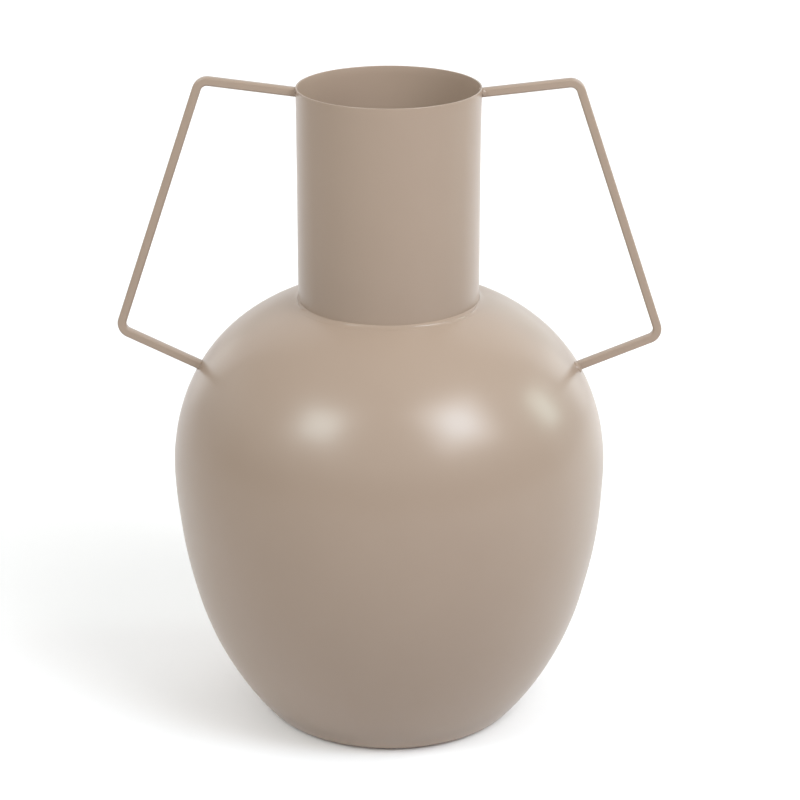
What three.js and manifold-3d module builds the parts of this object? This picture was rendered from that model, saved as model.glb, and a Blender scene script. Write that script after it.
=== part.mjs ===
// Metal vase: a spun two-piece body, a straight neck tube and two bent square-bar handles,
// welded together and powder coated. Millimetres, +Z up, origin on the floor under the middle
// of the base. The handles lie along X, the front is -Y.
import * as THREE from 'three';
import { mergeVertices } from 'three/addons/utils/BufferGeometryUtils.js';
import Module from 'manifold-3d';

const wasm = await Module();
wasm.setup();

// Body and neck
const rimHeight = 402; // floor to the cut rim of the neck
const neckLength = 131.5; // rim to the foot of the neck on the shoulder
const neckRadius = 55; // outside
const neckWall = 1;
const bellyRadius = 133.5; // outside, at the widest place
const bellyHeight = 161; // floor to the widest place
const baseRadius = 79.5; // edge of the flat base
const baseEdge = 2.5; // length of the rounding along the base edge
const sheet = 1; // wall of the two spun halves
const shoulderPower = 2.29; // fullness of the shoulder curve, 2 being an ellipse
const bowlPower = 2;
const rimRounding = 0.35; // deburred edge of the cut rim

// Seams between the body's pieces
const fit = 0.3; // clearance between pieces made apart
const lapHeight = 8; // lip of the bowl inside the shoulder
const bellyWeldWidth = 1.6;
const neckInset = 4; // neck tube below its foot, inside the shoulder
const neckWeldLeg = 1;

// Handles: one square bar each, bent by hand at an upper and a lower corner
const barSize = 5.3; // 5 mm bar with its coat
const barEdgeRadius = 1.2;
const bendRadius = 6.4; // along the middle of the bar
const topArmDrop = { left: 3.7, right: 3.4 }; // rim to the middle of the bar, at the neck wall
const topArmReach = { left: 57.6, right: 57.95 }; // neck wall to the upper corner, across
const topArmRise = 6.85; // degrees above level, going outwards
const sideArmLength = { left: 165.5, right: 166.85 }; // upper corner to lower corner
const sideArmSplay = { left: 18.9, right: 18.75 }; // degrees off plumb
const lowerArmDip = { left: 25.5, right: 22.85 }; // degrees below level
const upperWeldLeg = 0.7;
const lowerWeldLeg = 1;
const weldToe = 0.15; // thickness at the thin end of a bead

// Bumper pads
const padRadius = 5;
const padHeight = 1.5;
const padChamfer = 0.5;
const padTurn = 7.6; // degrees that the set of pads is turned about Z
const padNames = ['pad_front', 'pad_right', 'pad_back', 'pad_left'];

// Facets
const roundSegments = 64;
const wallSteps = 14;
const bendSteps = 4;
const padSegments = 20;

const shoulderHeight = rimHeight - neckLength;
const radians = THREE.MathUtils.degToRad;

// The two wall curves are quarters of superellipses that share the belly circle. Each is sized
// so that it runs through the foot of the neck or through the edge of the base.
function wallCurve(power, endRadius, endHeight) {
  const share = (1 - (endRadius / bellyRadius) ** power) ** (1 / power);
  return { power, rise: (endHeight - bellyHeight) / share };
}
const shoulder = wallCurve(shoulderPower, neckRadius, shoulderHeight);
const bowl = wallCurve(bowlPower, baseRadius, padHeight);

// Way straight out of a wall curve, at shares of the belly radius and of the curve's rise
function wallNormal(wall, across, along) {
  const slope = wall.power - 1;
  return new THREE.Vector2(across ** slope / bellyRadius, along ** slope / wall.rise).normalize();
}

// Point of a wall curve at an angle from the belly, moved out along the wall's normal
function wallPoint(wall, angle, outset) {
  const across = Math.cos(angle) ** (2 / wall.power);
  const along = Math.sin(angle) ** (2 / wall.power);
  const place = new THREE.Vector2(bellyRadius * across, bellyHeight + wall.rise * along);
  return place.addScaledVector(wallNormal(wall, across, along), outset);
}

// Angle from the belly at which a wall curve first passes a limit
function angleWhere(wall, outset, passed) {
  let low = 0;
  let high = Math.PI / 2;
  for (let step = 0; step < 40; step += 1) {
    const middle = (low + high) / 2;
    if (passed(wallPoint(wall, middle, outset))) high = middle;
    else low = middle;
  }
  return high;
}

function wallPoints(wall, outset, from, to) {
  const points = [];
  for (let step = 0; step <= wallSteps; step += 1) {
    points.push(wallPoint(wall, THREE.MathUtils.lerp(from, to, step / wallSteps), outset));
  }
  return points;
}

const point = (radius, height) => new THREE.Vector2(radius, height);

function revolve(points, segments = roundSegments) {
  return new THREE.LatheGeometry(points, segments).rotateX(Math.PI / 2);
}

const closed = (points) => [...points, points[0].clone()];

// Solids for cutting and joining
function solid(geometry) {
  const bare = geometry.clone();
  bare.deleteAttribute('normal');
  bare.deleteAttribute('uv');
  const merged = mergeVertices(bare, 1e-4);
  const corners = merged.index.array;
  const triVerts = [];
  for (let i = 0; i < corners.length; i += 3) {
    const [a, b, c] = corners.slice(i, i + 3);
    if (a !== b && b !== c && c !== a) triVerts.push(a, b, c);
  }
  return new wasm.Manifold(new wasm.Mesh({
    numProp: 3,
    vertProperties: merged.attributes.position.array,
    triVerts: Uint32Array.from(triVerts),
  }));
}

function surface(manifold) {
  const mesh = manifold.getMesh();
  const geometry = new THREE.BufferGeometry();
  geometry.setAttribute('position', new THREE.BufferAttribute(mesh.vertProperties, mesh.numProp));
  geometry.setIndex(new THREE.BufferAttribute(mesh.triVerts, 1));
  geometry.computeVertexNormals();
  return geometry;
}

// Finishes
const powderCoat = { color: 0xa89888, roughness: 0.4, metalness: 0 };
const clearPad = { color: 0xd8d8d4, roughness: 0.25, metalness: 0 };

const vase = new THREE.Group();
function add(name, geometry, finish = powderCoat) {
  const mesh = new THREE.Mesh(geometry, new THREE.MeshStandardMaterial(finish));
  mesh.name = name;
  vase.add(mesh);
  return mesh;
}

// Lower bowl: flat base, rounded base edge, wall up to the belly, then a lip stepped in by one
// sheet so that the shoulder slips over it
function lowerBowl() {
  const seam = bellyWeldWidth / 2 + fit;
  const floor = padHeight + sheet;
  const edgeTop = angleWhere(bowl, 0, (p) => p.y < padHeight + baseEdge);
  const outerTop = angleWhere(bowl, 0, (p) => p.y < bellyHeight - seam);
  const innerFoot = angleWhere(bowl, -sheet, (p) => p.y < floor);
  const innerTop = angleWhere(bowl, -sheet, (p) => p.y < bellyHeight - seam - sheet);
  const lipTop = angleWhere(shoulder, 0, (p) => p.y > bellyHeight + lapHeight);
  const lip = (angle, inset) => wallPoint(shoulder, angle, -inset);
  const edge = new THREE.Path();
  edge.moveTo(baseRadius - baseEdge, padHeight);
  const edgeEnd = wallPoint(bowl, edgeTop, 0);
  edge.quadraticCurveTo(baseRadius, padHeight, edgeEnd.x, edgeEnd.y);
  return revolve([
    point(0, padHeight),
    ...edge.getPoints(4),
    ...wallPoints(bowl, 0, edgeTop, outerTop).slice(1),
    point(bellyRadius - sheet - fit, bellyHeight - seam + fit),
    lip(lipTop, sheet + fit),
    lip(lipTop, 2 * sheet + fit),
    point(bellyRadius - 2 * sheet - fit, bellyHeight - seam + fit),
    ...wallPoints(bowl, -sheet, innerTop, innerFoot),
    point(0, floor),
  ]);
}

// Shoulder dome: from the belly seam to the opening that takes the neck
function shoulderDome() {
  const seam = bellyHeight + bellyWeldWidth / 2 + fit;
  const opening = neckRadius + fit;
  const [outside, inside] = [0, -sheet].map((outset) => wallPoints(
    shoulder,
    outset,
    angleWhere(shoulder, outset, (p) => p.y > seam),
    angleWhere(shoulder, outset, (p) => p.x < opening),
  ));
  return revolve(closed([...outside, ...inside.reverse()]));
}

function bellyWeld() {
  const half = bellyWeldWidth / 2;
  const inner = bellyRadius - sheet;
  return revolve(closed([
    point(inner, bellyHeight - half + fit),
    point(bellyRadius, bellyHeight - half),
    point(bellyRadius, bellyHeight + half),
    point(inner, bellyHeight + half),
  ]));
}

function neckTube() {
  const inner = neckRadius - neckWall;
  const foot = shoulderHeight - neckInset;
  return revolve(closed([
    point(inner, foot),
    point(neckRadius, foot),
    point(neckRadius, rimHeight - rimRounding),
    point(neckRadius - rimRounding, rimHeight),
    point(inner + rimRounding, rimHeight),
    point(inner, rimHeight - rimRounding),
  ]));
}

// Fillet bead in the corner between neck and shoulder, with a hollow face
function neckWeld() {
  const root = wallPoint(shoulder, angleWhere(shoulder, fit, (p) => p.x < neckRadius + fit), fit);
  const toe = wallPoint(shoulder, angleWhere(shoulder, fit, (p) => p.x < root.x + neckWeldLeg), fit);
  const top = point(root.x, root.y + neckWeldLeg);
  const face = new THREE.QuadraticBezierCurve(toe, toe.clone().add(top).add(root).divideScalar(3), top);
  return revolve(closed([root, ...face.getPoints(4)]));
}

add('lower_bowl', lowerBowl());
add('shoulder_dome', shoulderDome());
add('belly_weld', bellyWeld());
add('neck_tube', neckTube());
add('neck_weld', neckWeld());

// What the bar ends are shaped against: the neck with its rim, and the shoulder
const neckForm = solid(revolve([
  point(0, bellyHeight),
  point(neckRadius + fit, bellyHeight),
  point(neckRadius + fit, rimHeight),
  point(0, rimHeight),
]));
const shoulderTop = angleWhere(shoulder, fit, (p) => p.x < neckRadius);
const shoulderCurve = wallPoints(shoulder, fit, 0, shoulderTop);
const shoulderForm = solid(revolve([
  point(0, bellyHeight),
  ...shoulderCurve,
  point(0, shoulderCurve.at(-1).y),
]));

const heading = (degrees) => point(Math.cos(radians(degrees)), Math.sin(radians(degrees)));
const leftOf = (way) => point(-way.y, way.x);

// The middle line of a handle in its own plane: x out from the axis, y up
function handleLine(side) {
  const ways = [
    heading(topArmRise),
    heading(sideArmSplay[side] - 90),
    heading(180 + lowerArmDip[side]),
  ];
  const neckEnd = point(neckRadius, rimHeight - topArmDrop[side]);
  const upper = neckEnd.clone().addScaledVector(ways[0], topArmReach[side] / ways[0].x);
  const lower = upper.clone().addScaledVector(ways[1], sideArmLength[side]);
  const atDistance = (distance) => lower.clone().addScaledVector(ways[2], distance);
  const clearOfShoulder = (p) => (p.x / bellyRadius) ** shoulder.power
    + (Math.max(p.y - bellyHeight, 0) / shoulder.rise) ** shoulder.power > 1;
  let near = 0;
  let far = lower.x / -ways[2].x;
  for (let step = 0; step < 40; step += 1) {
    const middle = (near + far) / 2;
    if (clearOfShoulder(atDistance(middle))) near = middle;
    else far = middle;
  }
  const bodyEnd = atDistance(far);
  const climb = Math.max(bodyEnd.y - bellyHeight, 0) / shoulder.rise;
  const bodyWall = wallNormal(shoulder, bodyEnd.x / bellyRadius, climb);
  return { ways, neckEnd, corners: [upper, lower], bodyEnd, bodyWall };
}

// Bent bar as an outline in the handle's plane, thickened across it with rounded edges.
// Both ends run on into the neck and the shoulder, where they are cut to the surface.
function bentBar(line) {
  const half = barSize / 2;
  const runOn = 2 * barSize;
  const start = line.neckEnd.clone().addScaledVector(line.ways[0], -runOn);
  const end = line.bodyEnd.clone().addScaledVector(line.ways[2], runOn);
  const bends = line.corners.map((corner, i) => {
    const turn = line.ways[i].angleTo(line.ways[i + 1]);
    const inward = line.ways[i + 1].clone().sub(line.ways[i]).normalize();
    return {
      centre: corner.clone().addScaledVector(inward, bendRadius / Math.cos(turn / 2)),
      from: leftOf(line.ways[i]).angle(),
      to: leftOf(line.ways[i + 1]).angle(),
    };
  });
  const side = (p, way, offset) => p.clone().addScaledVector(leftOf(way), offset);
  const outline = new THREE.Shape();
  const lineTo = (p) => outline.lineTo(p.x, p.y);
  const first = side(start, line.ways[0], -half);
  outline.moveTo(first.x, first.y);
  lineTo(side(start, line.ways[0], half));
  for (const { centre, from, to } of bends) {
    outline.absarc(centre.x, centre.y, bendRadius + half, from, to, true);
  }
  lineTo(side(end, line.ways[2], half));
  lineTo(side(end, line.ways[2], -half));
  for (const { centre, from, to } of bends.reverse()) {
    outline.absarc(centre.x, centre.y, bendRadius - half, to, from, false);
  }
  const depth = barSize - 2 * barEdgeRadius;
  return new THREE.ExtrudeGeometry(outline, {
    depth,
    curveSegments: bendSteps,
    bevelThickness: barEdgeRadius,
    bevelSize: barEdgeRadius,
    bevelOffset: -barEdgeRadius,
    bevelSegments: 3,
  }).translate(0, 0, -depth / 2).rotateX(Math.PI / 2);
}

// Square with rounded corners, for sections along a bar
function roundedSquare(size, corner) {
  const half = size / 2;
  const inner = half - corner;
  const shape = new THREE.Shape();
  shape.moveTo(half, -inner);
  shape.lineTo(half, inner);
  shape.absarc(inner, inner, corner, 0, Math.PI / 2, false);
  shape.absarc(-inner, inner, corner, Math.PI / 2, Math.PI, false);
  shape.absarc(-inner, -inner, corner, Math.PI, 1.5 * Math.PI, false);
  shape.absarc(inner, -inner, corner, 1.5 * Math.PI, 2 * Math.PI, false);
  return shape;
}

// Weld bead round a bar end: a collar that widens towards the wall, with the bar's passage cut
// through it. seat is the middle of the bar at the wall, out the way along the bar from the wall
// and wallOut the way straight out of the wall. Where the bar leans, the collar reaches on until
// it is clear of the wall on every side.
function beadCollar(seat, out, wallOut, leg) {
  const passage = barSize + 2 * fit;
  const corner = barEdgeRadius + fit;
  const lean = out.angleTo(wallOut);
  const wallReach = fit / Math.cos(lean) + (passage / 2 + weldToe) * Math.tan(lean);
  const reach = Math.max(fit, wallReach + weldToe - leg);
  const place = (geometry) => solid(geometry
    .rotateY(Math.PI / 2)
    .rotateY(-out.angle())
    .translate(seat.x, 0, seat.y));
  const depth = 2 * barSize;
  const rim = roundedSquare(passage + 2 * weldToe, corner + weldToe);
  const collar = place(new THREE.ExtrudeGeometry(rim, {
    depth,
    curveSegments: 2,
    bevelThickness: leg,
    bevelSize: leg,
    bevelSegments: 3,
  }).translate(0, 0, reach - depth));
  const hole = place(new THREE.ExtrudeGeometry(roundedSquare(passage, corner), {
    depth: 2 * depth,
    curveSegments: 2,
    bevelEnabled: false,
  }).translate(0, 0, -depth));
  return collar.subtract(hole);
}

// Keeps the upper beads below the rim, where they are ground level with it
const aboveRim = solid(new THREE.BoxGeometry(4 * neckRadius, 4 * neckRadius, 2 * neckRadius)
  .translate(0, 0, rimHeight - fit + neckRadius));

for (const [side, turn] of [['left', Math.PI], ['right', 0]]) {
  const line = handleLine(side);
  const bar = solid(bentBar(line)).subtract(neckForm).subtract(shoulderForm);
  const upperBead = beadCollar(line.neckEnd, line.ways[0], point(1, 0), upperWeldLeg);
  const lowerBead = beadCollar(line.bodyEnd, line.ways[2].clone().negate(), line.bodyWall, lowerWeldLeg);
  add(`${side}_handle`, surface(bar)).rotation.z = turn;
  add(`${side}_upper_weld`, surface(upperBead.subtract(neckForm).subtract(aboveRim))).rotation.z = turn;
  add(`${side}_lower_weld`, surface(lowerBead.subtract(shoulderForm))).rotation.z = turn;
}

// Bumper pads stuck to the base, first one at the front
padNames.forEach((name, i) => {
  const pad = add(name, revolve([
    point(0, 0),
    point(padRadius - padChamfer, 0),
    point(padRadius, padChamfer),
    point(padRadius, padHeight),
    point(0, padHeight),
  ], padSegments), clearPad);
  const angle = radians(padTurn - 90) + (i / padNames.length) * 2 * Math.PI;
  const ring = baseRadius - baseEdge - padRadius;
  pad.position.set(ring * Math.cos(angle), ring * Math.sin(angle), 0);
});

export default vase;
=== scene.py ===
from math import acos, cos, pi, radians, sin, tan

import bmesh
import bpy
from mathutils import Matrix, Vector


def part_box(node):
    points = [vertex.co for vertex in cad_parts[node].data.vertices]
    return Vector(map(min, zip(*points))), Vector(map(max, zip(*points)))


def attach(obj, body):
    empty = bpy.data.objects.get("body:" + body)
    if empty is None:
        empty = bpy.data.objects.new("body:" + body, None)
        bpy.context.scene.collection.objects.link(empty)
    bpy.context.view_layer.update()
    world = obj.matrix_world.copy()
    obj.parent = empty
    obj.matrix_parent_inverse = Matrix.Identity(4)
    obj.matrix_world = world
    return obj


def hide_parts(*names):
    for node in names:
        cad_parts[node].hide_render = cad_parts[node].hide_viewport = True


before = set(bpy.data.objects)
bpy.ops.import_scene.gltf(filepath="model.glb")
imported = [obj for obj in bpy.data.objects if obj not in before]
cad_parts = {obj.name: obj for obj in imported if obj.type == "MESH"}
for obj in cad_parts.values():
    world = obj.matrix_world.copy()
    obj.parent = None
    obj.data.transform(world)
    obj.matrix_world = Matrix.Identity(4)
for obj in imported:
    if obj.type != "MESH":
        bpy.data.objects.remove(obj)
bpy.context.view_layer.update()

mm = 0.001
mergeWithin = 0.001 * mm
sameHeight = 0.01 * mm
print("frame loaded:", len(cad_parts), "nodes")


# small helpers
def newPiece(name):  # names the primitive just added and moves its place into its mesh
    piece = bpy.context.object
    piece.name = name
    piece.data.name = name
    bpy.ops.object.transform_apply(location=True, rotation=True, scale=True)
    return piece


def deselectAll():
    bpy.ops.object.select_all(action="DESELECT")


def selectOnly(piece):
    deselectAll()
    piece.select_set(True)
    bpy.context.view_layer.objects.active = piece


def editAll(mode):  # into edit mode with everything selected, mode VERT or FACE
    bpy.ops.object.mode_set(mode="EDIT")
    bpy.ops.mesh.select_mode(type=mode)
    bpy.ops.mesh.select_all(action="SELECT")


def leaveEdit():
    bpy.ops.object.mode_set(mode="OBJECT")


def selectWhere(piece, kind, test):  # kind is verts or edges
    bpy.ops.mesh.select_mode(type={"verts": "VERT", "edges": "EDGE"}[kind])
    bpy.ops.mesh.select_all(action="DESELECT")
    shell = bmesh.from_edit_mesh(piece.data)
    for part in getattr(shell, kind):
        if test(part):
            part.select_set(True)
    shell.select_flush_mode()
    bmesh.update_edit_mesh(piece.data)


def extrudeBy(x, y, z):
    bpy.ops.mesh.extrude_region_move(TRANSFORM_OT_translate={"value": (x, y, z)})


def liftRing(fromRing, toRing):  # extrudes the selected ring to the next (radius, height)
    extrudeBy(0, 0, toRing[1] - fromRing[1])
    grow = toRing[0] / fromRing[0]
    bpy.ops.transform.resize(value=(grow, grow, 1), center_override=(0, 0, 0))


def tableAt(table, place):  # eased value between the two entries on either side
    for (first, low), (last, high) in zip(table, table[1:]):
        if first <= place <= last:
            share = (place - first) / (last - first)
            return low + (high - low) * share * share * (3 - 2 * share)


def closeUp():
    bpy.ops.mesh.select_all(action="SELECT")
    bpy.ops.mesh.remove_doubles(threshold=mergeWithin)
    bpy.ops.mesh.normals_make_consistent(inside=False)


def applyModifier(piece, kind, **settings):
    modifier = piece.modifiers.new(kind.title(), kind)
    for key, value in settings.items():
        setattr(modifier, key, value)
    bpy.ops.object.modifier_apply(modifier=modifier.name)


def dress(piece, material, nodes, smoothAngle=40):
    selectOnly(piece)
    piece.data.materials.clear()
    piece.data.materials.append(material)
    bpy.ops.object.shade_smooth_by_angle(angle=radians(smoothAngle))
    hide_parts(*nodes)
    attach(piece, "root")
    print("made", piece.name, len(piece.data.polygons), "faces")


# materials
def hexColour(code):
    parts = [int(code[i:i + 2], 16) / 255 for i in (1, 3, 5)]
    return tuple(c / 12.92 if c <= 0.04045 else ((c + 0.055) / 1.055) ** 2.4 for c in parts) + (1,)


def addNode(tree, kind, settings=None, links=None):
    node = tree.nodes.new(kind)
    for key, value in (settings or {}).items():
        node.inputs[key].default_value = value
    for key, socket in (links or {}).items():
        tree.links.new(socket, node.inputs[key])
    return node


def newMaterial(name):
    material = bpy.data.materials.new(name)
    material.use_nodes = True
    material.node_tree.nodes.clear()
    return material, material.node_tree


coatLook = {
    "light": "#a28e7e",
    "dark": "#a08c7c",
    "cloudSize": 38 * mm,  # slow drift of film thickness
    "cloudSpan": (0.2, 0.8),  # stretch of the cloud in which the colour changes
    "peelSize": 2.2 * mm,  # orange peel
    "peelDepth": 0.004 * mm,
    "roughness": (0.277, 0.293),
    "roughPatch": 14 * mm,
    "ior": 1.5,
}


# Polyester powder coat baked on steel: even satin taupe, soft highlights, a faint orange peel
def powderCoat():
    material, tree = newMaterial("powder_coat_satin_taupe")
    spot = addNode(tree, "ShaderNodeTexCoord").outputs["Object"]
    cloud = addNode(tree, "ShaderNodeTexNoise", {"Scale": 1 / coatLook["cloudSize"], "Detail": 3},
                    {"Vector": spot})
    colour = addNode(tree, "ShaderNodeValToRGB", links={"Fac": cloud.outputs["Fac"]})
    for stop, place, shade in zip(colour.color_ramp.elements, coatLook["cloudSpan"], ("dark", "light")):
        stop.position = place
        stop.color = hexColour(coatLook[shade])
    patch = addNode(tree, "ShaderNodeTexNoise", {"Scale": 1 / coatLook["roughPatch"], "Detail": 2},
                    {"Vector": spot})
    low, high = coatLook["roughness"]
    rough = addNode(tree, "ShaderNodeMapRange", {"To Min": low, "To Max": high},
                    {"Value": patch.outputs["Fac"]})
    peel = addNode(tree, "ShaderNodeTexNoise", {"Scale": 1 / coatLook["peelSize"], "Detail": 1},
                   {"Vector": spot})
    bump = addNode(tree, "ShaderNodeBump", {"Strength": 1, "Distance": coatLook["peelDepth"]},
                   {"Height": peel.outputs["Fac"]})
    coat = addNode(tree, "ShaderNodeBsdfPrincipled", {"IOR": coatLook["ior"], "Metallic": 0},
                   {"Base Color": colour.outputs["Color"], "Roughness": rough.outputs["Result"],
                    "Normal": bump.outputs["Normal"]})
    addNode(tree, "ShaderNodeOutputMaterial", links={"Surface": coat.outputs["BSDF"]})
    return material


padLook = {
    "clear": "#e4e2da",
    "hazy": "#cfcdc4",
    "hazeSize": 1.5 * mm,
    "roughness": (0.15, 0.3),
    "ior": 1.5,
    "clearness": 0.7,
}


# Cast polyurethane bumper: clear and slightly hazy, with a soft gloss
def clearBumper():
    material, tree = newMaterial("clear_polyurethane_cast")
    spot = addNode(tree, "ShaderNodeTexCoord").outputs["Object"]
    haze = addNode(tree, "ShaderNodeTexNoise", {"Scale": 1 / padLook["hazeSize"], "Detail": 2},
                   {"Vector": spot})
    colour = addNode(tree, "ShaderNodeValToRGB", links={"Fac": haze.outputs["Fac"]})
    colour.color_ramp.elements[0].color = hexColour(padLook["hazy"])
    colour.color_ramp.elements[1].color = hexColour(padLook["clear"])
    low, high = padLook["roughness"]
    rough = addNode(tree, "ShaderNodeMapRange", {"To Min": low, "To Max": high},
                    {"Value": haze.outputs["Fac"]})
    clear = addNode(tree, "ShaderNodeBsdfPrincipled",
                    {"IOR": padLook["ior"], "Transmission Weight": padLook["clearness"]},
                    {"Base Color": colour.outputs["Color"], "Roughness": rough.outputs["Result"]})
    addNode(tree, "ShaderNodeOutputMaterial", links={"Surface": clear.outputs["BSDF"]})
    return material


paperLook = {"light": "#fffeff", "dark": "#fefdfe", "fibreSize": 6 * mm, "roughness": 0.9, "shine": 0.1}


# Seamless studio paper: flat matte white
def studioPaper():
    material, tree = newMaterial("studio_paper_matte_white")
    spot = addNode(tree, "ShaderNodeTexCoord").outputs["Object"]
    fibre = addNode(tree, "ShaderNodeTexNoise", {"Scale": 1 / paperLook["fibreSize"]}, {"Vector": spot})
    colour = addNode(tree, "ShaderNodeValToRGB", links={"Fac": fibre.outputs["Fac"]})
    colour.color_ramp.elements[0].color = hexColour(paperLook["dark"])
    colour.color_ramp.elements[1].color = hexColour(paperLook["light"])
    paper = addNode(tree, "ShaderNodeBsdfPrincipled",
                    {"Roughness": paperLook["roughness"], "Specular IOR Level": paperLook["shine"]},
                    {"Base Color": colour.outputs["Color"]})
    addNode(tree, "ShaderNodeOutputMaterial", links={"Surface": paper.outputs["BSDF"]})
    return material


coat = powderCoat()
bumper = clearBumper()
print("materials ready")


# camera: a little above the rim, looking down, with a long lens
cameraSetup = {
    "location": (44.79 * mm, -1444.32 * mm, 745.1 * mm),
    "lookDown": 20.57,
    "heading": 1.5,
    "lens": 111.5,
    "sensor": 36,
}
deselectAll()
bpy.ops.object.camera_add(
    location=cameraSetup["location"],
    rotation=(radians(90 - cameraSetup["lookDown"]), 0, radians(cameraSetup["heading"])),
)
camera = bpy.context.object
camera.name = "photo_camera"
camera.data.sensor_width = cameraSetup["sensor"]
camera.data.lens = cameraSetup["lens"]
bpy.context.scene.camera = camera
print("camera set")


# body: base, bowl and shoulder drawn as one spun skin, since the coat hides the belly seam
bowlLow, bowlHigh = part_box("lower_bowl")
neckLow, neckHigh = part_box("neck_tube")
bodySize = {
    "bellyRadius": bowlHigh[0],
    "bellyHeight": 161 * mm,
    "baseRadius": 80 * mm,
    "baseHeight": bowlLow[2],
    "baseEdge": 1.2 * mm,
    "neckRadius": neckHigh[0],
    "neckFoot": neckHigh[2] - 131.5 * mm,
    "neckHole": 59.2 * mm,
    "bowlPower": 2,
    "shoulderPower": 2.29,
    "sheet": 1 * mm,
    "corners": 192,
    "rings": 30,
    "edgeSteps": 6,
    # by height in mm: how far the hand-formed sheet sits to the right, and how much wider its sides are
    "sway": [(0, 1), (20, 0.95), (60, 0.8), (90, 0.62), (125, 0.62), (155, 0.22), (215, 0.22),
             (250, 0), (400, 0)],
    "swell": [(0, 0.3), (14, 0.45), (34, 0.6), (53, 0.78), (66, 0.65), (92, 0.05), (132, 0.05),
              (148, 0.36), (165, 0.8), (172, 0.8), (184, 0.52), (205, 0.18), (235, 0), (400, 0)],
}


def wallRise(power, endRadius, endHeight):
    share = (1 - (endRadius / bodySize["bellyRadius"]) ** power) ** (1 / power)
    return (endHeight - bodySize["bellyHeight"]) / share


bowlRise = wallRise(bodySize["bowlPower"], bodySize["baseRadius"], bodySize["baseHeight"])
shoulderRise = wallRise(bodySize["shoulderPower"], bodySize["neckRadius"], bodySize["neckFoot"])


def wallRing(power, rise, angle):
    return (bodySize["bellyRadius"] * cos(angle) ** (2 / power),
            bodySize["bellyHeight"] + rise * sin(angle) ** (2 / power))


def wallAngle(power, radius):  # angle from the belly at which the wall has this radius
    return acos((radius / bodySize["bellyRadius"]) ** (power / 2))


def makeBody():
    rings = bodySize["rings"]
    bowlEnd = wallAngle(bodySize["bowlPower"], bodySize["baseRadius"])
    shoulderEnd = wallAngle(bodySize["shoulderPower"], bodySize["neckHole"])
    stations = [wallRing(bodySize["bowlPower"], bowlRise, bowlEnd * (1 - i / rings)) for i in range(rings)]
    stations += [wallRing(bodySize["shoulderPower"], shoulderRise, shoulderEnd * i / rings)
                 for i in range(rings + 1)]
    deselectAll()
    bpy.ops.mesh.primitive_circle_add(vertices=bodySize["corners"], radius=1 * mm)
    piece = newPiece("vase_body")
    editAll("VERT")
    fromRing = (0, 1 * mm, 1 * mm, 0)  # sway, half width, half depth, height
    for radius, height in stations:
        sway = tableAt(bodySize["sway"], height / mm) * mm
        swell = tableAt(bodySize["swell"], height / mm) * mm
        toRing = (sway, radius + swell, radius, height)
        move = (toRing[0] - fromRing[0], 0, toRing[3] - fromRing[3])
        if height == stations[0][1]:
            bpy.ops.transform.translate(value=move)
        else:
            extrudeBy(*move)
        bpy.ops.transform.resize(value=(toRing[1] / fromRing[1], toRing[2] / fromRing[2], 1),
                                 center_override=(sway, 0, 0))
        fromRing = toRing

    def onBase(edge):
        return all(abs(v.co.z - bodySize["baseHeight"]) < sameHeight for v in edge.verts)

    selectWhere(piece, "edges", onBase)
    bpy.ops.mesh.edge_face_add()
    closeUp()
    selectWhere(piece, "edges", onBase)
    bpy.ops.mesh.bevel(offset=bodySize["baseEdge"], segments=bodySize["edgeSteps"], affect="EDGES")
    leaveEdit()
    applyModifier(piece, "SOLIDIFY", thickness=bodySize["sheet"], offset=-1, use_even_offset=True)
    dress(piece, coat, ("lower_bowl", "shoulder_dome", "belly_weld"))


makeBody()


# neck: rolled tube, a touch wider at both ends, its cut rim deburred
neckSize = {
    "wall": 1 * mm,
    "rimRounding": 0.35 * mm,
    "rimSteps": 3,
    "rings": 24,
    "smoothAngle": 50,
    # by share of its length: how many mm wider it is, and how many it sits to the right
    "swell": [(0, 0.38), (0.2, 0.38), (0.45, 0.28), (0.7, 0.3), (0.88, 0.4), (1, 0.6)],
    "sway": [(0, 0.05), (0.7, 0.1), (1, 0.3)],
}


def neckRing(share):
    return (bodySize["neckRadius"] + tableAt(neckSize["swell"], share) * mm,
            neckLow[2] + (neckHigh[2] - neckLow[2]) * share)


def makeNeck():
    stations = [neckRing(i / neckSize["rings"]) for i in range(neckSize["rings"] + 1)]
    deselectAll()
    bpy.ops.mesh.primitive_circle_add(vertices=bodySize["corners"], radius=stations[0][0],
                                      location=(0, 0, stations[0][1]))
    piece = newPiece("neck_tube_skin")
    editAll("VERT")
    for fromRing, toRing in zip(stations, stations[1:]):
        liftRing(fromRing, toRing)
    for i, ring in enumerate(stations):
        selectWhere(piece, "verts", lambda vert: abs(vert.co.z - ring[1]) < sameHeight)
        bpy.ops.transform.translate(value=(tableAt(neckSize["sway"], i / neckSize["rings"]) * mm, 0, 0))
    closeUp()
    leaveEdit()
    applyModifier(piece, "SOLIDIFY", thickness=neckSize["wall"], offset=-1, use_even_offset=True)

    def atRim(edge):  # on the rim's two circles, and not across the wall
        step = abs(edge.verts[0].co.xy.length - edge.verts[1].co.xy.length)
        return step < neckSize["wall"] / 3 and all(v.co.z > neckHigh[2] - sameHeight for v in edge.verts)

    bpy.ops.object.mode_set(mode="EDIT")
    selectWhere(piece, "edges", atRim)
    bpy.ops.mesh.bevel(offset=neckSize["rimRounding"], segments=neckSize["rimSteps"], affect="EDGES")
    leaveEdit()
    dress(piece, coat, ("neck_tube",), neckSize["smoothAngle"])


makeNeck()


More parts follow.
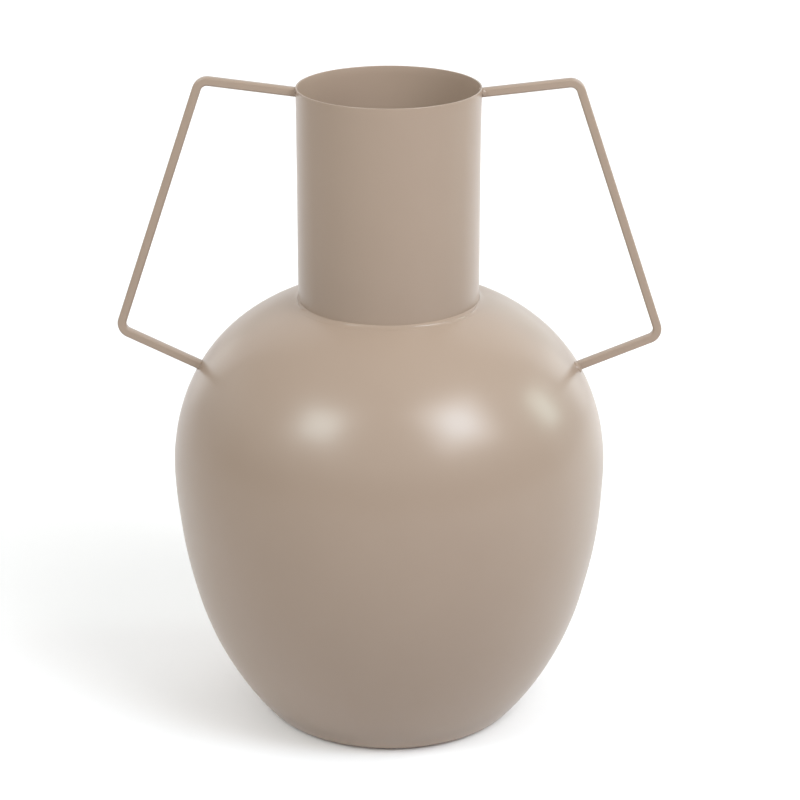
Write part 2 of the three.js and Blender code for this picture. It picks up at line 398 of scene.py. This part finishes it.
# handles: square bar, bent twice
handleSize = {
    "bar": 5.3 * mm,
    "edge": 1.2 * mm,
    "edgeSteps": 5,
    "bend": 6.55 * mm,
    "topDrop": {"left": 3.7 * mm, "right": 3.4 * mm},
    "topReach": {"left": 57.6 * mm, "right": 57.95 * mm},
    "topRise": 6.85,
    "sideLength": {"left": 165.5 * mm, "right": 166.85 * mm},
    "sideSplay": {"left": 18.9, "right": 18.75},
    "lowerDip": {"left": 25.5, "right": 22.85},
    "bendSteps": 12,
    "intoWall": 0.5 * mm,
    "halvings": 40,
    "smoothAngle": 30,
}


def heading(lift):
    return Vector((cos(radians(lift)), 0, sin(radians(lift))))


def handleLine(side):
    ways = [heading(handleSize["topRise"]), heading(handleSize["sideSplay"][side] - 90),
            heading(180 + handleSize["lowerDip"][side])]
    start = Vector((bodySize["neckRadius"], 0, neckHigh[2] - handleSize["topDrop"][side]))
    upper = start + ways[0] * (handleSize["topReach"][side] / ways[0].x)
    lower = upper + ways[1] * handleSize["sideLength"][side]
    # where the lower arm reaches the shoulder, by halving
    power = bodySize["shoulderPower"]
    near, far = 0.0, lower.x / -ways[2].x
    for step in range(handleSize["halvings"]):
        middle = (near + far) / 2
        spot = lower + ways[2] * middle
        level = (max(spot.x, 0) / bodySize["bellyRadius"]) ** power + (
            max(spot.z - bodySize["bellyHeight"], 0) / shoulderRise) ** power
        if level > 1:
            near = middle
        else:
            far = middle
    seat = lower + ways[2] * far
    slope = power - 1
    normal = Vector(((seat.x / bodySize["bellyRadius"]) ** slope / bodySize["bellyRadius"], 0,
                     ((seat.z - bodySize["bellyHeight"]) / shoulderRise) ** slope / shoulderRise))
    return ways, start, upper, lower, seat, normal.normalized()


def makeHandle(side):
    ways, start, upper, lower, seat, normal = handleLine(side)
    bar, bend = handleSize["bar"], handleSize["bend"]
    turns = [ways[i].angle(ways[i + 1]) for i in (0, 1)]
    trims = [bend * tan(turn / 2) for turn in turns]
    deselectAll()
    bpy.ops.mesh.primitive_plane_add(size=bar, location=start - ways[0] * handleSize["intoWall"],
                                     rotation=(0, radians(90 - handleSize["topRise"]), 0))
    piece = newPiece(side + "_handle_bar")
    editAll("VERT")
    bpy.ops.mesh.bevel(offset=handleSize["edge"], segments=handleSize["edgeSteps"], affect="VERTICES")
    bpy.ops.mesh.select_mode(type="FACE")
    bpy.ops.mesh.select_all(action="SELECT")
    extrudeBy(*(upper - ways[0] * trims[0] - start + ways[0] * handleSize["intoWall"]))
    lengths = [(upper - lower).length - trims[0] - trims[1],
               (seat - lower).length - trims[1] + 2 * bar]
    for i, corner in enumerate((upper, lower)):
        inward = (ways[i + 1] - ways[i]).normalized()
        centre = corner + inward * (bend / cos(turns[i] / 2))
        bpy.ops.mesh.spin(steps=handleSize["bendSteps"], angle=turns[i], center=centre, axis=(0, -1, 0))
        extrudeBy(*(ways[i + 1] * lengths[i]))
    closeUp()
    bpy.ops.mesh.bisect(plane_co=seat - normal * handleSize["intoWall"], plane_no=normal,
                        use_fill=True, clear_inner=True)
    closeUp()
    if side == "left":
        bpy.ops.mesh.select_all(action="SELECT")
        bpy.ops.transform.rotate(value=pi, orient_axis="Z", center_override=(0, 0, 0))
    leaveEdit()
    dress(piece, coat, (side + "_handle",), handleSize["smoothAngle"])


for side in ("left", "right"):
    makeHandle(side)


# weld beads where the bars end, each dressed by hand: rings are (radius, height along the bar) in mm
# from the wall, shift is (down the wall, to the front) in mm
barBeads = {
    "left_upper_weld": {"rings": [(3.2, 0), (3.1, 0.5), (2.9, 1), (2.65, 1.4), (1.5, 1.6)],
                        "shift": (0, 0)},
    "right_upper_weld": {"rings": [(2.9, 0), (2.75, 0.9), (2.5, 1.9), (2.2, 2.9), (1.5, 3.8)],
                         "shift": (-0.3, 0.8)},
    "left_lower_weld": {"rings": [(3.3, 0), (3.05, 0.5), (2.8, 1), (2.5, 1.5), (1.5, 1.7)],
                        "shift": (0.5, 0)},
    "right_lower_weld": {"rings": [(4.3, 0), (4, 0.6), (3.6, 1.2), (3.1, 1.8), (2.5, 2.4), (1.4, 2.7)],
                         "shift": (0.2, 1.3)},
}
beadFinish = {
    "lumps": {"size": 2.5 * mm, "depth": 0.2 * mm},
    "sunk": 0.4 * mm,
    "corners": 40,
    "neckShare": 0.96,  # how far up the neck the upper beads sit
    "smoothAngle": 60,
}


def roughen(piece, lumps):  # slow uneven swell, as a hand leaves it
    lump = bpy.data.textures.new(piece.name + "_lumps", "CLOUDS")
    lump.noise_scale = lumps["size"]
    applyModifier(piece, "DISPLACE", texture=lump, texture_coords="LOCAL", strength=lumps["depth"],
                  mid_level=0.5)


def makeBarBead(node, seat, normal, downWall, way):
    rings = barBeads[node]["rings"]
    down, front = barBeads[node]["shift"]
    foot = seat - normal * beadFinish["sunk"] + downWall * down * mm + Vector((0, -front * mm, 0))
    deselectAll()
    bpy.ops.mesh.primitive_circle_add(vertices=beadFinish["corners"], radius=rings[0][0] * mm,
                                      fill_type="NGON", location=foot,
                                      rotation=normal.to_track_quat("Z", "Y").to_euler())
    piece = newPiece(node.replace("weld", "bead"))
    editAll("FACE")
    for (wide, low), (narrow, high) in zip(rings, rings[1:]):
        extrudeBy(*(way * (high - low) * mm))
        bpy.ops.transform.resize(value=(narrow / wide,) * 3, center_override=foot + way * high * mm)
    closeUp()
    leaveEdit()
    applyModifier(piece, "SUBSURF", levels=1, render_levels=1)
    roughen(piece, beadFinish["lumps"])
    dress(piece, coat, (node,), beadFinish["smoothAngle"])


for side, mirror in (("left", Vector((-1, 1, 1))), ("right", Vector((1, 1, 1)))):
    ways, start, upper, lower, seat, normal = handleLine(side)
    outward, downward = Vector((1, 0, 0)), Vector((0, 0, -1))
    swell = tableAt(neckSize["swell"], beadFinish["neckShare"]) * mm
    makeBarBead(side + "_upper_weld", (start + outward * swell) * mirror, outward * mirror, downward,
                ways[0] * mirror)
    downWall = Vector((normal.z, 0, -normal.x))
    makeBarBead(side + "_lower_weld", seat * mirror, normal * mirror, downWall * mirror, -ways[2] * mirror)


# bead round the foot of the neck: a groove and then a thin rounded lip, ground away in places
# section is (out, up) from the corner in shares of the leg
# legs are (degrees from the front round to the right, mm)
neckBead = {
    "section": [(-0.15, 0.3), (0.02, 0.3), (0.05, -0.22), (0.45, -0.36), (0.76, -0.32), (0.87, -0.1),
                (0.95, -0.03), (1.03, -0.02), (1.11, -0.07), (1.17, -0.17), (1.21, -0.3), (1.3, -0.385)],
    "reach": 2 * mm,  # what is nearer the neck than this is scaled to the leg
    "skirt": 4.2 * mm,  # runs out flush on the shoulder
    "skirtLift": 0.05 * mm,
    "skirtDrop": 1.2 * mm,
    "legs": [(-180, 1.2), (-130, 1.4), (-95, 0.5), (-80, 0.6), (-74, 1.4), (-65, 1.7), (-60, 0.35),
             (-36, 0.35), (-24, 1.6), (-12, 0.8), (0, 0.9), (9, 0.5), (18, 1.8), (30, 2.3), (42, 2.8),
             (60, 2.6), (68, 1.7), (76, 0.7), (95, 0.5), (125, 1), (150, 1.6), (180, 1.2)],
    "lumps": {"size": 5 * mm, "depth": 0.08 * mm},
}


def makeNeckBead():
    radius, foot = neckRing(0)[0], bodySize["neckFoot"]
    stations = [(radius + out * mm, foot + up * mm) for out, up in neckBead["section"]]
    skirt = radius + neckBead["skirt"]
    power = bodySize["shoulderPower"]
    level = wallRing(power, shoulderRise, wallAngle(power, skirt))[1]
    lift, drop = neckBead["skirtLift"], neckBead["skirtDrop"]
    stations += [(skirt, level + lift), (skirt + lift, level - drop)]
    deselectAll()
    bpy.ops.mesh.primitive_circle_add(vertices=bodySize["corners"], radius=stations[0][0],
                                      location=(0, 0, stations[0][1]))
    piece = newPiece("neck_bead")
    editAll("VERT")
    for fromRing, toRing in zip(stations, stations[1:]):
        liftRing(fromRing, toRing)
    selectWhere(piece, "edges", lambda edge: edge.is_boundary)
    bpy.ops.mesh.bridge_edge_loops()
    closeUp()
    # each section scaled from the corner to its own leg
    step = 360 / bodySize["corners"]
    for i in range(bodySize["corners"]):
        turn = radians(i * step - 180)
        way = Vector((sin(turn), -cos(turn)))
        selectWhere(piece, "verts", lambda vert: vert.co.xy.length < radius + neckBead["reach"] and (
            vert.co.xy.normalized().dot(way) > cos(radians(step / 3))))
        bpy.ops.transform.resize(value=(tableAt(neckBead["legs"], i * step - 180),) * 3,
                                 center_override=(radius * way.x, radius * way.y, foot))
    leaveEdit()
    roughen(piece, neckBead["lumps"])
    dress(piece, coat, ("neck_weld",), beadFinish["smoothAngle"])


makeNeckBead()


# bumper pads under the base
padSize = {"corners": 48, "rounding": 0.6 * mm, "roundSteps": 4}


def makePads():
    nodes = ["pad_front", "pad_right", "pad_back", "pad_left"]
    boxes = [[Vector(corner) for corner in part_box(node)] for node in nodes]
    middles = [(low + high) / 2 for low, high in boxes]
    low, high = boxes[0]
    deselectAll()
    bpy.ops.mesh.primitive_circle_add(vertices=padSize["corners"], radius=(high.x - low.x) / 2,
                                      fill_type="NGON", location=(middles[0].x, middles[0].y, high.z))
    first = newPiece("bumper_front")
    editAll("FACE")
    extrudeBy(0, 0, low.z - high.z)
    closeUp()
    selectWhere(first, "edges", lambda edge: all(v.co.z < low.z + sameHeight for v in edge.verts))
    bpy.ops.mesh.bevel(offset=padSize["rounding"], segments=padSize["roundSteps"], affect="EDGES")
    leaveEdit()
    pieces = [first]
    for node, middle in zip(nodes[1:], middles[1:]):
        selectOnly(first)
        bpy.ops.object.duplicate()
        pieces.append(newPiece(node.replace("pad", "bumper")))
        editAll("VERT")
        bpy.ops.transform.translate(value=middle - middles[0])
        leaveEdit()
    for node, piece in zip(nodes, pieces):
        dress(piece, bumper, (node,))


makePads()


# floor and light
floorSize = {"sheet": 9, "nearRadius": 0.1, "nearDrop": 0.05 * mm, "nearCorners": 128}  # in metres


def makeFloor():
    paper = studioPaper()
    deselectAll()
    bpy.ops.mesh.primitive_plane_add(size=floorSize["sheet"], location=(0, 0, 0))
    sheet = newPiece("studio_floor")
    # the wide sheet throws no light on the vase: the near disc and the surround's lower half do that
    sheet.visible_diffuse = False
    sheet.visible_shadow = False
    deselectAll()
    bpy.ops.mesh.primitive_circle_add(vertices=floorSize["nearCorners"], radius=floorSize["nearRadius"],
                                      fill_type="NGON", location=(0, 0, -floorSize["nearDrop"]))
    near = newPiece("studio_floor_near")
    for piece in (sheet, near):
        piece.data.materials.append(paper)


makeFloor()

vaseMiddle = (0, 0, 0.22)  # where the lights aim unless they say otherwise
# angles in degrees, lengths in metres: azimuth runs from the front round to the right, and glow is
# the panel's brightness
studioLights = {
    "left_softbox": {"azimuth": -43.2, "elevation": 39.8, "distance": 1.47, "size": (0.45, 0.47), "glow": 8.1,
                     "white": "#efffff"},
    "left_diffuser": {"azimuth": -43.2, "elevation": 39.8, "distance": 1.5, "size": (0.9, 0.94), "glow": 1.3},
    "right_softbox": {"azimuth": 48.3, "elevation": 41, "distance": 1.47, "size": (0.45, 0.47), "glow": 8.8,
                      "white": "#d8eeff"},
    "right_diffuser": {"azimuth": 48.3, "elevation": 41, "distance": 1.5, "size": (0.9, 0.94), "glow": 4.35},
    "right_strip": {"azimuth": 104, "elevation": 19.5, "distance": 1.6, "size": (0.28, 0.54), "glow": 7.2,
                    "white": "#e6fff7"},
    "left_side_panel": {"azimuth": -115, "elevation": 12, "distance": 2.4, "size": (1.8, 1.4), "glow": 0.37},
    "right_side_panel": {"azimuth": 115, "elevation": 12, "distance": 2.4, "size": (1.8, 1.4), "glow": 0.52},
    "left_back_panel": {"azimuth": -150, "elevation": 12, "distance": 3.2, "size": (2.4, 1.6), "glow": 0.38},
    "right_back_panel": {"azimuth": 150, "elevation": 12, "distance": 3.2, "size": (2.4, 1.6), "glow": 0.77,
                         "white": "#eaf9ff"},
    "left_high_panel": {"azimuth": -150, "elevation": 38, "distance": 2.6, "size": (1.6, 1.2), "glow": 0.5},
    "right_high_panel": {"azimuth": 150, "elevation": 38, "distance": 2.6, "size": (1.6, 1.2), "glow": 0.66},
    "backdrop_wash": {"azimuth": 0, "elevation": 90, "distance": 1.6, "size": (4, 1.8), "glow": 0.33,
                      "aim": (0, 1.7, 0), "spread": 90},
    "backdrop_foot": {"azimuth": 180, "elevation": 2, "distance": 3.4, "size": (3.6, 0.5), "glow": 0.6},
    "right_floor_wash": {"azimuth": 0, "elevation": 90, "distance": 1.6, "size": (0.5, 0.5), "glow": 1.2,
                         "aim": (0.75, 0.7, 0), "spread": 50},
    "left_edge_panel": {"azimuth": -141, "elevation": 5, "distance": 2.2, "size": (0.5, 0.9), "glow": 0.97},
    "right_edge_panel": {"azimuth": 141, "elevation": 5, "distance": 2.2, "size": (0.5, 0.9), "glow": 1.22},
}
# white surround: (height of the direction from -1 below to 1 above, brightness), its lower half
# standing in for the light that the floor throws back
surround = [(-1, 1.35), (-0.75, 1.4), (-0.4, 0), (-0.1, 0), (-0.07, 0.35), (0.05, 0.46), (0.4, 0.85),
            (0.75, 0.42), (1, 0.4)]
surroundWhite = "#fffdfa"


def makeLights():
    for name, light in studioLights.items():
        turn, lift = radians(light["azimuth"]), radians(light["elevation"])
        way = Vector((sin(turn) * cos(lift), -cos(turn) * cos(lift), sin(lift)))
        aim = Vector(light.get("aim", vaseMiddle))
        deselectAll()
        bpy.ops.object.light_add(type="AREA", location=aim + way * light["distance"])
        lamp = bpy.context.object
        lamp.name = name
        lamp.rotation_euler = way.to_track_quat("Z", "Y").to_euler()
        lamp.data.shape = "RECTANGLE"
        lamp.data.size, lamp.data.size_y = light["size"]
        lamp.data.energy = light["glow"] * pi * light["size"][0] * light["size"][1]
        lamp.data.spread = radians(light.get("spread", 180))
        lamp.data.color = hexColour(light.get("white", "#ffffff"))[:3]


def makeSurround():
    world = bpy.data.worlds.new("white_studio")
    world.use_nodes = True
    tree = world.node_tree
    tree.nodes.clear()
    way = addNode(tree, "ShaderNodeTexCoord").outputs["Generated"]
    height = addNode(tree, "ShaderNodeSeparateXYZ", links={"Vector": way}).outputs["Z"]
    share = addNode(tree, "ShaderNodeMapRange", {"From Min": -1, "From Max": 1}, {"Value": height})
    ramp = addNode(tree, "ShaderNodeValToRGB", links={"Fac": share.outputs["Result"]})
    stops = ramp.color_ramp.elements
    most = max(glow for level, glow in surround)
    for level, glow in surround[1:-1]:
        stops.new((level + 1) / 2)
    for stop, (level, glow) in zip(stops, surround):
        stop.color = [glow / most * part for part in hexColour(surroundWhite)[:3]] + [1]
    light = addNode(tree, "ShaderNodeBackground", {"Strength": most}, {"Color": ramp.outputs["Color"]})
    addNode(tree, "ShaderNodeOutputWorld", links={"Surface": light.outputs["Background"]})
    bpy.context.scene.world = world
    bpy.context.scene.view_settings.view_transform = "Standard"


makeLights()
makeSurround()
print("studio lit")
